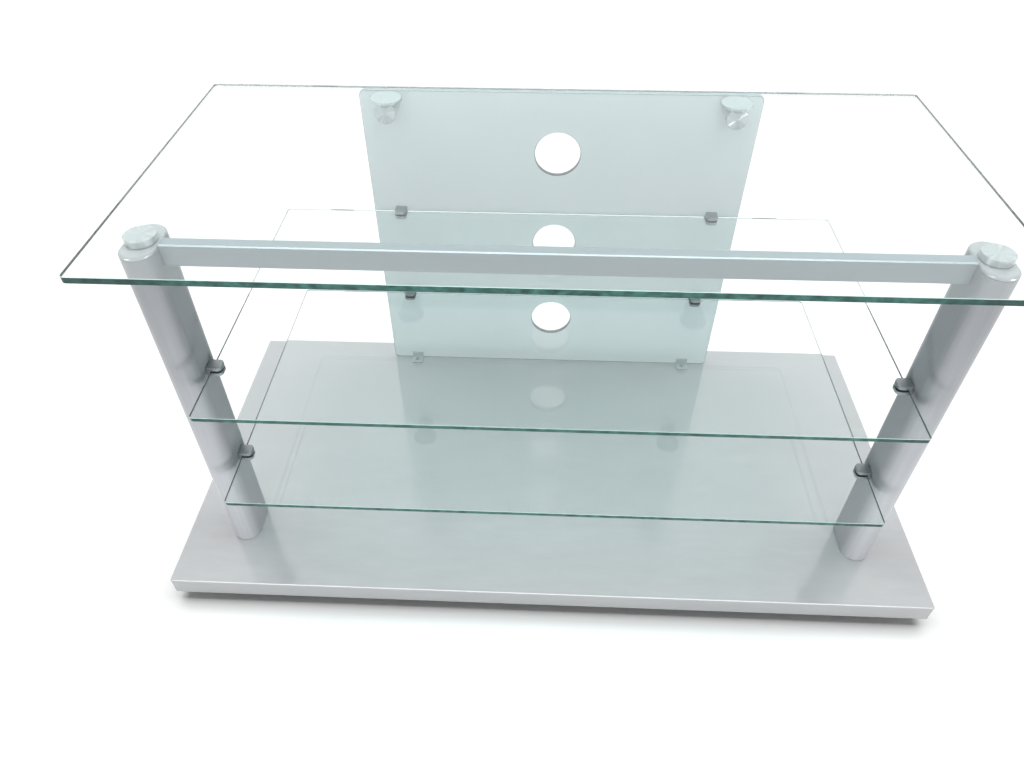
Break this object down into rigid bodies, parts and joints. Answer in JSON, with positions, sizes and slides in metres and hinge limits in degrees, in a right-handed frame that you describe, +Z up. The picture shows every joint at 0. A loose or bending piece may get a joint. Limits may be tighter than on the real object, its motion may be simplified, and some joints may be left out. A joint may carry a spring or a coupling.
{
  "type": "tv stand",
  "caption": "Low open tv stand: a silver board on levelling feet carries oblong posts with a crossbar, a clear glass top and shelves in clips, and a frosted rear panel with cable holes.",
  "frame": {"origin": "on the floor, under the middle of the board", "axes": "+X to the right seen from the front, +Y to the back, +Z up"},
  "size_m": [1.1, 0.54, 0.5742],
  "materials": {
    "silver_board": "satin silver lacquer on fibreboard",
    "satin_aluminium": "satin anodised, drawn lengthwise",
    "spun_aluminium": "spun and polished",
    "clip_metal": "satin, mid grey",
    "clear_glass": "clear float glass with green ground edges",
    "frosted_glass": "frosted, pale blue-green",
    "zinc_steel": "bright zinc plated",
    "foot_plastic": "black moulded"
  },
  "bodies": {
    "stand": {"base_board": "silver_board", "foot_insert_front_left": "zinc_steel", "foot_insert_front_right": "zinc_steel", "foot_insert_rear_left": "zinc_steel", "foot_insert_rear_right": "zinc_steel", "left_post": "satin_aluminium", "right_post": "satin_aluminium", "left_post_cap": "satin_aluminium", "right_post_cap": "satin_aluminium", "left_post_plug": "zinc_steel", "right_post_plug": "zinc_steel", "left_post_bolt_front": "zinc_steel", "left_post_bolt_rear": "zinc_steel", "right_post_bolt_front": "zinc_steel", "right_post_bolt_rear": "zinc_steel", "left_puck": "spun_aluminium", "right_puck": "spun_aluminium", "left_puck_stud": "zinc_steel", "right_puck_stud": "zinc_steel", "crossbar": "satin_aluminium", "crossbar_plug_left": "zinc_steel", "crossbar_plug_right": "zinc_steel", "crossbar_stud_left": "zinc_steel", "crossbar_stud_right": "zinc_steel", "top_glass": "clear_glass", "upper_shelf": "clear_glass", "lower_shelf": "clear_glass", "rear_panel": "frosted_glass", "post_clip_upper_left": "clip_metal", "post_clip_upper_right": "clip_metal", "post_clip_lower_left": "clip_metal", "post_clip_lower_right": "clip_metal", "post_clip_screw_upper_left": "zinc_steel", "post_clip_screw_upper_right": "zinc_steel", "post_clip_screw_lower_left": "zinc_steel", "post_clip_screw_lower_right": "zinc_steel", "panel_clip_upper_left": "clip_metal", "panel_clip_upper_right": "clip_metal", "panel_clip_lower_left": "clip_metal", "panel_clip_lower_right": "clip_metal", "panel_clip_screw_upper_left": "zinc_steel", "panel_clip_screw_upper_right": "zinc_steel", "panel_clip_screw_lower_left": "zinc_steel", "panel_clip_screw_lower_right": "zinc_steel", "top_bracket_left": "spun_aluminium", "top_bracket_right": "spun_aluminium", "top_bracket_bolt_left": "zinc_steel", "top_bracket_bolt_right": "zinc_steel", "panel_angle_left": "clip_metal", "panel_angle_right": "clip_metal", "angle_screw_left": "zinc_steel", "angle_screw_right": "zinc_steel"},
    "front_left_foot": {"foot_front_left": "foot_plastic"},
    "front_right_foot": {"foot_front_right": "foot_plastic"},
    "rear_left_foot": {"foot_rear_left": "foot_plastic"},
    "rear_right_foot": {"foot_rear_right": "foot_plastic"}
  },
  "joints": [
    {"name": "front_left_foot_screw", "type": "slide", "parent": "stand", "child": "front_left_foot", "axis": [0, 0, -1], "range_m": [0, 0.01]},
    {"name": "front_right_foot_screw", "type": "slide", "parent": "stand", "child": "front_right_foot", "axis": [0, 0, -1], "range_m": [0, 0.01]},
    {"name": "rear_left_foot_screw", "type": "slide", "parent": "stand", "child": "rear_left_foot", "axis": [0, 0, -1], "range_m": [0, 0.01]},
    {"name": "rear_right_foot_screw", "type": "slide", "parent": "stand", "child": "rear_right_foot", "axis": [0, 0, -1], "range_m": [0, 0.01]}
  ]
}
